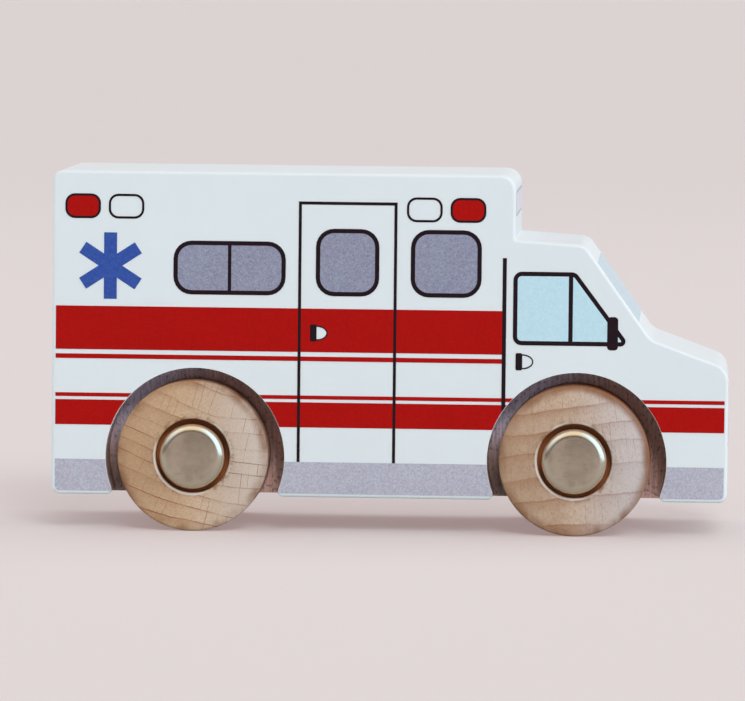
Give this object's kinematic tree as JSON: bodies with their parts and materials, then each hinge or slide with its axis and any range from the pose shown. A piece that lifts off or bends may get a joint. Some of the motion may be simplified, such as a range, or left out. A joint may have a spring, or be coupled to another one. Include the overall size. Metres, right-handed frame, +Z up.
{
  "type": "toy ambulance",
  "caption": "Painted solid-wood toy ambulance with a tall rear box, sloping windscreen and round wheel pockets; turned wooden wheels spin on steel axles held by pressed caps.",
  "frame": {"origin": "on the ground under the middle of the toy, where the wheels stand", "axes": "+X to the front of the vehicle, +Y to its left side, +Z up"},
  "size_m": [0.112, 0.041, 0.0595],
  "materials": {
    "white_paint": "satin white paint over a solid wooden block",
    "bare_wood": "bare turned beech, sanded, edges darkened by the cutter",
    "cap_steel": "satin nickel-plated pressed steel",
    "axle_steel": "plain drawn steel rod",
    "red_print": "red transfer film, satin",
    "silver_print": "silver-grey transfer film, finely speckled",
    "grey_print": "lavender-grey transfer film, satin",
    "black_print": "black transfer film, satin",
    "pale_blue_print": "pale blue transfer film, satin",
    "blue_print": "blue transfer film, satin"
  },
  "bodies": {
    "chassis": {"body": "white_paint", "red_bands_right": "red_print", "red_bands_left": "red_print", "sill_bands_right": "silver_print", "sill_bands_left": "silver_print", "saloon_panes_right": "grey_print", "saloon_panes_left": "grey_print", "saloon_frames_right": "black_print", "saloon_frames_left": "black_print", "cab_panes_right": "pale_blue_print", "cab_panes_left": "pale_blue_print", "cab_frame_right": "black_print", "cab_frame_left": "black_print", "door_lines_right": "black_print", "door_lines_left": "black_print", "door_handles_right": "black_print", "door_handles_left": "black_print", "mirror_right": "black_print", "mirror_left": "black_print", "warning_lamps_right": "red_print", "warning_lamps_left": "red_print", "lamp_outlines_right": "black_print", "lamp_outlines_left": "black_print", "star_right": "blue_print", "star_left": "blue_print", "windscreen": "pale_blue_print", "marker_panel": "silver_print", "marker_outline": "grey_print", "headlamps": "silver_print", "grille": "black_print", "rear_panes": "grey_print", "rear_door_lines": "black_print", "tail_lamps": "red_print"},
    "front_axle_set": {"front_axle": "axle_steel", "cap_front_right": "cap_steel", "cap_front_left": "cap_steel"},
    "front_right_wheel": {"wheel_front_right": "bare_wood"},
    "front_left_wheel": {"wheel_front_left": "bare_wood"},
    "rear_axle_set": {"rear_axle": "axle_steel", "cap_rear_right": "cap_steel", "cap_rear_left": "cap_steel"},
    "rear_right_wheel": {"wheel_rear_right": "bare_wood"},
    "rear_left_wheel": {"wheel_rear_left": "bare_wood"}
  },
  "joints": [
    {"name": "front_axle_spin", "type": "hinge", "parent": "chassis", "child": "front_axle_set", "pos_m": [0.03072, 0, 0.0125], "axis": [0, 1, 0], "continuous": true},
    {"name": "front_right_wheel_spin", "type": "hinge", "parent": "front_axle_set", "child": "front_right_wheel", "pos_m": [0.03072, 0, 0.0125], "axis": [0, 1, 0], "continuous": true},
    {"name": "front_left_wheel_spin", "type": "hinge", "parent": "front_axle_set", "child": "front_left_wheel", "pos_m": [0.03072, 0, 0.0125], "axis": [0, 1, 0], "continuous": true},
    {"name": "rear_axle_spin", "type": "hinge", "parent": "chassis", "child": "rear_axle_set", "pos_m": [-0.03247, 0, 0.0125], "axis": [0, 1, 0], "continuous": true},
    {"name": "rear_right_wheel_spin", "type": "hinge", "parent": "rear_axle_set", "child": "rear_right_wheel", "pos_m": [-0.03247, 0, 0.0125], "axis": [0, 1, 0], "continuous": true},
    {"name": "rear_left_wheel_spin", "type": "hinge", "parent": "rear_axle_set", "child": "rear_left_wheel", "pos_m": [-0.03247, 0, 0.0125], "axis": [0, 1, 0], "continuous": true}
  ]
}
